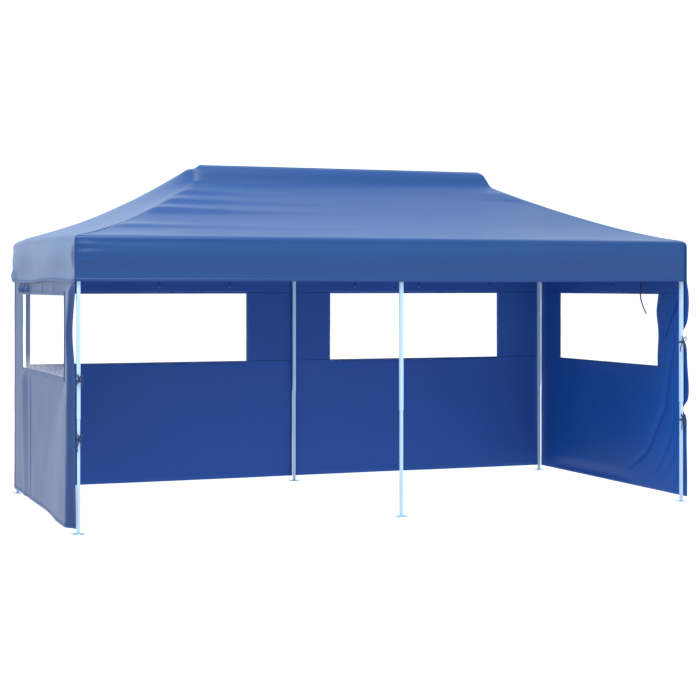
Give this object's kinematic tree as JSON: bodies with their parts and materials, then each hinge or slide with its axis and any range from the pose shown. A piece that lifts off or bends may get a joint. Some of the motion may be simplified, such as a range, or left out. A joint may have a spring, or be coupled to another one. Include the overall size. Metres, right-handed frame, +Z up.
{
  "type": "pop up gazebo",
  "caption": "Blue 3 x 6 m pop up gazebo with a hip roof, six telescopic steel legs, folding scissor trusses and four side walls with clear windows, open at the front.",
  "frame": {"origin": "on the ground in the middle between the six legs", "axes": "+Z up, +X along the long side to the right seen from the open front, +Y from the open front to the back wall"},
  "size_m": [5.9, 3, 3.19],
  "materials": {
    "steel_tube": "satin",
    "bar_tube": "satin",
    "nylon": "matte",
    "blue_cloth": "matte",
    "window_film": "gloss"
  },
  "bodies": {
    "upper_leg_front_left": {"upper_leg_front_left": "steel_tube", "wall_left": "blue_cloth", "pane_left": "window_film"},
    "lower_leg_front_left": {"lower_leg_front_left": "steel_tube"},
    "collar_front_left": {"collar_front_left": "nylon"},
    "upper_leg_front_middle": {"upper_leg_front_middle": "steel_tube", "roof_canopy": "blue_cloth"},
    "lower_leg_front_middle": {"lower_leg_front_middle": "steel_tube"},
    "collar_front_middle": {"collar_front_middle": "nylon"},
    "upper_leg_front_right": {"upper_leg_front_right": "steel_tube", "wall_right": "blue_cloth", "pane_right": "window_film"},
    "lower_leg_front_right": {"lower_leg_front_right": "steel_tube"},
    "collar_front_right": {"collar_front_right": "nylon"},
    "upper_leg_back_left": {"upper_leg_back_left": "steel_tube"},
    "lower_leg_back_left": {"lower_leg_back_left": "steel_tube"},
    "collar_back_left": {"collar_back_left": "nylon"},
    "upper_leg_back_middle": {"upper_leg_back_middle": "steel_tube", "wall_back_left": "blue_cloth", "wall_back_right": "blue_cloth", "pane_back": "window_film"},
    "lower_leg_back_middle": {"lower_leg_back_middle": "steel_tube"},
    "collar_back_middle": {"collar_back_middle": "nylon"},
    "upper_leg_back_right": {"upper_leg_back_right": "steel_tube"},
    "lower_leg_back_right": {"lower_leg_back_right": "steel_tube"},
    "collar_back_right": {"collar_back_right": "nylon"},
    "bar_front_1a": {"bar_front_1a": "bar_tube"},
    "bar_front_1b": {"bar_front_1b": "bar_tube"},
    "bar_front_2a": {"bar_front_2a": "bar_tube"},
    "bar_front_2b": {"bar_front_2b": "bar_tube"},
    "bar_front_3a": {"bar_front_3a": "bar_tube"},
    "bar_front_3b": {"bar_front_3b": "bar_tube"},
    "bar_front_4a": {"bar_front_4a": "bar_tube"},
    "bar_front_4b": {"bar_front_4b": "bar_tube"},
    "bar_back_1a": {"bar_back_1a": "bar_tube"},
    "bar_back_1b": {"bar_back_1b": "bar_tube"},
    "bar_back_2a": {"bar_back_2a": "bar_tube"},
    "bar_back_2b": {"bar_back_2b": "bar_tube"},
    "bar_back_3a": {"bar_back_3a": "bar_tube"},
    "bar_back_3b": {"bar_back_3b": "bar_tube"},
    "bar_back_4a": {"bar_back_4a": "bar_tube"},
    "bar_back_4b": {"bar_back_4b": "bar_tube"},
    "bar_left_1a": {"bar_left_1a": "bar_tube"},
    "bar_left_1b": {"bar_left_1b": "bar_tube"},
    "bar_left_2a": {"bar_left_2a": "bar_tube"},
    "bar_left_2b": {"bar_left_2b": "bar_tube"},
    "bar_right_1a": {"bar_right_1a": "bar_tube"},
    "bar_right_1b": {"bar_right_1b": "bar_tube"},
    "bar_right_2a": {"bar_right_2a": "bar_tube"},
    "bar_right_2b": {"bar_right_2b": "bar_tube"},
    "mast_left": {"mast_left": "steel_tube"},
    "tee_left_front": {"tee_left_front": "nylon"},
    "mast_arm_left_front": {"mast_arm_left_front": "bar_tube"},
    "tee_left_back": {"tee_left_back": "nylon"},
    "mast_arm_left_back": {"mast_arm_left_back": "bar_tube"},
    "mast_right": {"mast_right": "steel_tube"},
    "tee_right_front": {"tee_right_front": "nylon"},
    "mast_arm_right_front": {"mast_arm_right_front": "bar_tube"},
    "tee_right_back": {"tee_right_back": "nylon"},
    "mast_arm_right_back": {"mast_arm_right_back": "bar_tube"}
  },
  "joints": [
    {"name": "fold", "type": "hinge", "parent": "upper_leg_front_middle", "child": "bar_front_3a", "pos_m": [0.056, -1.45, 2.44], "axis": [0, 1, 0], "range_deg": [0, 74.9], "deforming": ["roof_canopy", "wall_left", "pane_left", "wall_right", "pane_right", "wall_back_left", "wall_back_right", "pane_back"]},
    {"name": "front_joint_3_low", "type": "hinge", "parent": "bar_front_3a", "child": "bar_front_4b", "pos_m": [1.45, -1.45, 2.12], "axis": [0, 1, 0], "range_deg": [-149.8, 0]},
    {"name": "front_right_leg_pin", "type": "hinge", "parent": "bar_front_4b", "child": "upper_leg_front_right", "pos_m": [2.844, -1.45, 2.44], "axis": [0, 1, 0], "range_deg": [0, 74.9]},
    {"name": "front_cross_3", "type": "hinge", "parent": "bar_front_3a", "child": "bar_front_3b", "pos_m": [0.753, -1.45, 2.28], "axis": [0, 1, 0], "range_deg": [-149.8, 0]},
    {"name": "tee_right_front_pin", "type": "hinge", "parent": "bar_front_3b", "child": "tee_right_front", "pos_m": [1.45, -1.45, 2.44], "axis": [0, 1, 0], "range_deg": [0, 74.9]},
    {"name": "front_middle_collar_pin", "type": "hinge", "parent": "bar_front_3b", "child": "collar_front_middle", "pos_m": [0.056, -1.45, 2.12], "axis": [0, 1, 0], "range_deg": [0, 74.9]},
    {"name": "front_cross_4", "type": "hinge", "parent": "bar_front_4b", "child": "bar_front_4a", "pos_m": [2.147, -1.45, 2.28], "axis": [0, 1, 0], "range_deg": [0, 149.8]},
    {"name": "front_right_collar_pin", "type": "hinge", "parent": "bar_front_4a", "child": "collar_front_right", "pos_m": [2.844, -1.45, 2.12], "axis": [0, 1, 0], "range_deg": [-74.9, 0]},
    {"name": "front_middle_pin_left", "type": "hinge", "parent": "upper_leg_front_middle", "child": "bar_front_2b", "pos_m": [-0.056, -1.45, 2.44], "axis": [0, 1, 0], "range_deg": [-74.9, 0]},
    {"name": "front_joint_1_low", "type": "hinge", "parent": "bar_front_2b", "child": "bar_front_1a", "pos_m": [-1.45, -1.45, 2.12], "axis": [0, 1, 0], "range_deg": [0, 149.8]},
    {"name": "front_left_leg_pin", "type": "hinge", "parent": "bar_front_1a", "child": "upper_leg_front_left", "pos_m": [-2.844, -1.45, 2.44], "axis": [0, 1, 0], "range_deg": [-74.9, 0]},
    {"name": "front_cross_2", "type": "hinge", "parent": "bar_front_2b", "child": "bar_front_2a", "pos_m": [-0.753, -1.45, 2.28], "axis": [0, 1, 0], "range_deg": [0, 149.8]},
    {"name": "tee_left_front_pin", "type": "hinge", "parent": "bar_front_2a", "child": "tee_left_front", "pos_m": [-1.45, -1.45, 2.44], "axis": [0, 1, 0], "range_deg": [-74.9, 0]},
    {"name": "front_cross_1", "type": "hinge", "parent": "bar_front_1a", "child": "bar_front_1b", "pos_m": [-2.147, -1.45, 2.28], "axis": [0, 1, 0], "range_deg": [-149.8, 0]},
    {"name": "front_left_collar_pin", "type": "hinge", "parent": "bar_front_1b", "child": "collar_front_left", "pos_m": [-2.844, -1.45, 2.12], "axis": [0, 1, 0], "range_deg": [0, 74.9]},
    {"name": "left_front_leg_pin", "type": "hinge", "parent": "upper_leg_front_left", "child": "bar_left_1a", "pos_m": [-2.9, -1.394, 2.44], "axis": [1, 0, 0], "range_deg": [-74.9, 0]},
    {"name": "left_joint_low", "type": "hinge", "parent": "bar_left_1a", "child": "bar_left_2b", "pos_m": [-2.9, 0, 2.12], "axis": [1, 0, 0], "range_deg": [0, 149.8]},
    {"name": "left_back_leg_pin", "type": "hinge", "parent": "bar_left_2b", "child": "upper_leg_back_left", "pos_m": [-2.9, 1.394, 2.44], "axis": [1, 0, 0], "range_deg": [-74.9, 0]},
    {"name": "left_cross_1", "type": "hinge", "parent": "bar_left_1a", "child": "bar_left_1b", "pos_m": [-2.9, -0.697, 2.28], "axis": [1, 0, 0], "range_deg": [0, 149.8]},
    {"name": "left_cross_2", "type": "hinge", "parent": "bar_left_2b", "child": "bar_left_2a", "pos_m": [-2.9, 0.697, 2.28], "axis": [1, 0, 0], "range_deg": [-149.8, 0]},
    {"name": "back_left_collar_pin", "type": "hinge", "parent": "bar_left_2a", "child": "collar_back_left", "pos_m": [-2.9, 1.394, 2.12], "axis": [1, 0, 0], "range_deg": [0, 74.9]},
    {"name": "right_front_leg_pin", "type": "hinge", "parent": "upper_leg_front_right", "child": "bar_right_1a", "pos_m": [2.9, -1.394, 2.44], "axis": [1, 0, 0], "range_deg": [-74.9, 0]},
    {"name": "right_joint_low", "type": "hinge", "parent": "bar_right_1a", "child": "bar_right_2b", "pos_m": [2.9, 0, 2.12], "axis": [1, 0, 0], "range_deg": [0, 149.8]},
    {"name": "right_back_leg_pin", "type": "hinge", "parent": "bar_right_2b", "child": "upper_leg_back_right", "pos_m": [2.9, 1.394, 2.44], "axis": [1, 0, 0], "range_deg": [-74.9, 0]},
    {"name": "right_cross_1", "type": "hinge", "parent": "bar_right_1a", "child": "bar_right_1b", "pos_m": [2.9, -0.697, 2.28], "axis": [1, 0, 0], "range_deg": [0, 149.8]},
    {"name": "right_cross_2", "type": "hinge", "parent": "bar_right_2b", "child": "bar_right_2a", "pos_m": [2.9, 0.697, 2.28], "axis": [1, 0, 0], "range_deg": [-149.8, 0]},
    {"name": "back_right_collar_pin", "type": "hinge", "parent": "bar_right_2a", "child": "collar_back_right", "pos_m": [2.9, 1.394, 2.12], "axis": [1, 0, 0], "range_deg": [0, 74.9]},
    {"name": "back_left_leg_pin", "type": "hinge", "parent": "upper_leg_back_left", "child": "bar_back_1a", "pos_m": [-2.844, 1.45, 2.44], "axis": [0, 1, 0], "range_deg": [0, 74.9]},
    {"name": "back_joint_1_low", "type": "hinge", "parent": "bar_back_1a", "child": "bar_back_2b", "pos_m": [-1.45, 1.45, 2.12], "axis": [0, 1, 0], "range_deg": [-149.8, 0]},
    {"name": "back_middle_leg_pin", "type": "hinge", "parent": "bar_back_2b", "child": "upper_leg_back_middle", "pos_m": [-0.056, 1.45, 2.44], "axis": [0, 1, 0], "range_deg": [0, 74.9]},
    {"name": "back_cross_1", "type": "hinge", "parent": "bar_back_1a", "child": "bar_back_1b", "pos_m": [-2.147, 1.45, 2.28], "axis": [0, 1, 0], "range_deg": [-149.8, 0]},
    {"name": "tee_left_back_pin", "type": "hinge", "parent": "bar_back_1b", "child": "tee_left_back", "pos_m": [-1.45, 1.45, 2.44], "axis": [0, 1, 0], "range_deg": [0, 74.9]},
    {"name": "back_cross_2", "type": "hinge", "parent": "bar_back_2b", "child": "bar_back_2a", "pos_m": [-0.753, 1.45, 2.28], "axis": [0, 1, 0], "range_deg": [0, 149.8]},
    {"name": "back_middle_collar_pin", "type": "hinge", "parent": "bar_back_2a", "child": "collar_back_middle", "pos_m": [-0.056, 1.45, 2.12], "axis": [0, 1, 0], "range_deg": [-74.9, 0]},
    {"name": "back_right_leg_pin", "type": "hinge", "parent": "upper_leg_back_right", "child": "bar_back_4b", "pos_m": [2.844, 1.45, 2.44], "axis": [0, 1, 0], "range_deg": [-74.9, 0]},
    {"name": "back_joint_3_low", "type": "hinge", "parent": "bar_back_4b", "child": "bar_back_3a", "pos_m": [1.45, 1.45, 2.12], "axis": [0, 1, 0], "range_deg": [0, 149.8]},
    {"name": "back_cross_3", "type": "hinge", "parent": "bar_back_3a", "child": "bar_back_3b", "pos_m": [0.753, 1.45, 2.28], "axis": [0, 1, 0], "range_deg": [-149.8, 0]},
    {"name": "tee_right_back_pin", "type": "hinge", "parent": "bar_back_3b", "child": "tee_right_back", "pos_m": [1.45, 1.45, 2.44], "axis": [0, 1, 0], "range_deg": [0, 74.9]},
    {"name": "back_cross_4", "type": "hinge", "parent": "bar_back_4b", "child": "bar_back_4a", "pos_m": [2.147, 1.45, 2.28], "axis": [0, 1, 0], "range_deg": [0, 149.8]},
    {"name": "mast_arm_left_front_pin", "type": "hinge", "parent": "tee_left_front", "child": "mast_arm_left_front", "pos_m": [-1.45, -1.421, 2.44], "axis": [1, 0, 0], "range_deg": [-74.9, 0]},
    {"name": "mast_left_pin", "type": "hinge", "parent": "mast_arm_left_front", "child": "mast_left", "pos_m": [-1.45, -0.027, 2.12], "axis": [1, 0, 0], "range_deg": [0, 74.9]},
    {"name": "mast_arm_left_back_pin", "type": "hinge", "parent": "tee_left_back", "child": "mast_arm_left_back", "pos_m": [-1.45, 1.421, 2.44], "axis": [1, 0, 0], "range_deg": [0, 74.9]},
    {"name": "mast_arm_right_front_pin", "type": "hinge", "parent": "tee_right_front", "child": "mast_arm_right_front", "pos_m": [1.45, -1.421, 2.44], "axis": [1, 0, 0], "range_deg": [-74.9, 0]},
    {"name": "mast_right_pin", "type": "hinge", "parent": "mast_arm_right_front", "child": "mast_right", "pos_m": [1.45, -0.027, 2.12], "axis": [1, 0, 0], "range_deg": [0, 74.9]},
    {"name": "mast_arm_right_back_pin", "type": "hinge", "parent": "tee_right_back", "child": "mast_arm_right_back", "pos_m": [1.45, 1.421, 2.44], "axis": [1, 0, 0], "range_deg": [0, 74.9]},
    {"name": "leg_slide_front_left", "type": "slide", "parent": "upper_leg_front_left", "child": "lower_leg_front_left", "axis": [0, 0, 1], "range_m": [0, 0.84]},
    {"name": "leg_slide_front_middle", "type": "slide", "parent": "upper_leg_front_middle", "child": "lower_leg_front_middle", "axis": [0, 0, 1], "range_m": [0, 0.84]},
    {"name": "leg_slide_front_right", "type": "slide", "parent": "upper_leg_front_right", "child": "lower_leg_front_right", "axis": [0, 0, 1], "range_m": [0, 0.84]},
    {"name": "leg_slide_back_left", "type": "slide", "parent": "upper_leg_back_left", "child": "lower_leg_back_left", "axis": [0, 0, 1], "range_m": [0, 0.84]},
    {"name": "leg_slide_back_middle", "type": "slide", "parent": "upper_leg_back_middle", "child": "lower_leg_back_middle", "axis": [0, 0, 1], "range_m": [0, 0.84]},
    {"name": "leg_slide_back_right", "type": "slide", "parent": "upper_leg_back_right", "child": "lower_leg_back_right", "axis": [0, 0, 1], "range_m": [0, 0.84]}
  ],
  "couplings": [
    {"joint": "front_joint_3_low", "follows": "fold", "ratio": -2},
    {"joint": "front_right_leg_pin", "follows": "fold", "ratio": 1},
    {"joint": "front_cross_3", "follows": "fold", "ratio": -2},
    {"joint": "tee_right_front_pin", "follows": "fold", "ratio": 1},
    {"joint": "front_middle_collar_pin", "follows": "fold", "ratio": 1},
    {"joint": "front_cross_4", "follows": "fold", "ratio": 2},
    {"joint": "front_right_collar_pin", "follows": "fold", "ratio": -1},
    {"joint": "front_middle_pin_left", "follows": "fold", "ratio": -1},
    {"joint": "front_joint_1_low", "follows": "fold", "ratio": 2},
    {"joint": "front_left_leg_pin", "follows": "fold", "ratio": -1},
    {"joint": "front_cross_2", "follows": "fold", "ratio": 2},
    {"joint": "tee_left_front_pin", "follows": "fold", "ratio": -1},
    {"joint": "front_cross_1", "follows": "fold", "ratio": -2},
    {"joint": "front_left_collar_pin", "follows": "fold", "ratio": 1},
    {"joint": "left_front_leg_pin", "follows": "fold", "ratio": -1},
    {"joint": "left_joint_low", "follows": "fold", "ratio": 2},
    {"joint": "left_back_leg_pin", "follows": "fold", "ratio": -1},
    {"joint": "left_cross_1", "follows": "fold", "ratio": 2},
    {"joint": "left_cross_2", "follows": "fold", "ratio": -2},
    {"joint": "back_left_collar_pin", "follows": "fold", "ratio": 1},
    {"joint": "right_front_leg_pin", "follows": "fold", "ratio": -1},
    {"joint": "right_joint_low", "follows": "fold", "ratio": 2},
    {"joint": "right_back_leg_pin", "follows": "fold", "ratio": -1},
    {"joint": "right_cross_1", "follows": "fold", "ratio": 2},
    {"joint": "right_cross_2", "follows": "fold", "ratio": -2},
    {"joint": "back_right_collar_pin", "follows": "fold", "ratio": 1},
    {"joint": "back_left_leg_pin", "follows": "fold", "ratio": 1},
    {"joint": "back_joint_1_low", "follows": "fold", "ratio": -2},
    {"joint": "back_middle_leg_pin", "follows": "fold", "ratio": 1},
    {"joint": "back_cross_1", "follows": "fold", "ratio": -2},
    {"joint": "tee_left_back_pin", "follows": "fold", "ratio": 1},
    {"joint": "back_cross_2", "follows": "fold", "ratio": 2},
    {"joint": "back_middle_collar_pin", "follows": "fold", "ratio": -1},
    {"joint": "back_right_leg_pin", "follows": "fold", "ratio": -1},
    {"joint": "back_joint_3_low", "follows": "fold", "ratio": 2},
    {"joint": "back_cross_3", "follows": "fold", "ratio": -2},
    {"joint": "tee_right_back_pin", "follows": "fold", "ratio": 1},
    {"joint": "back_cross_4", "follows": "fold", "ratio": 2},
    {"joint": "mast_arm_left_front_pin", "follows": "fold", "ratio": -1},
    {"joint": "mast_left_pin", "follows": "fold", "ratio": 1},
    {"joint": "mast_arm_left_back_pin", "follows": "fold", "ratio": 1},
    {"joint": "mast_arm_right_front_pin", "follows": "fold", "ratio": -1},
    {"joint": "mast_right_pin", "follows": "fold", "ratio": 1},
    {"joint": "mast_arm_right_back_pin", "follows": "fold", "ratio": 1}
  ]
}
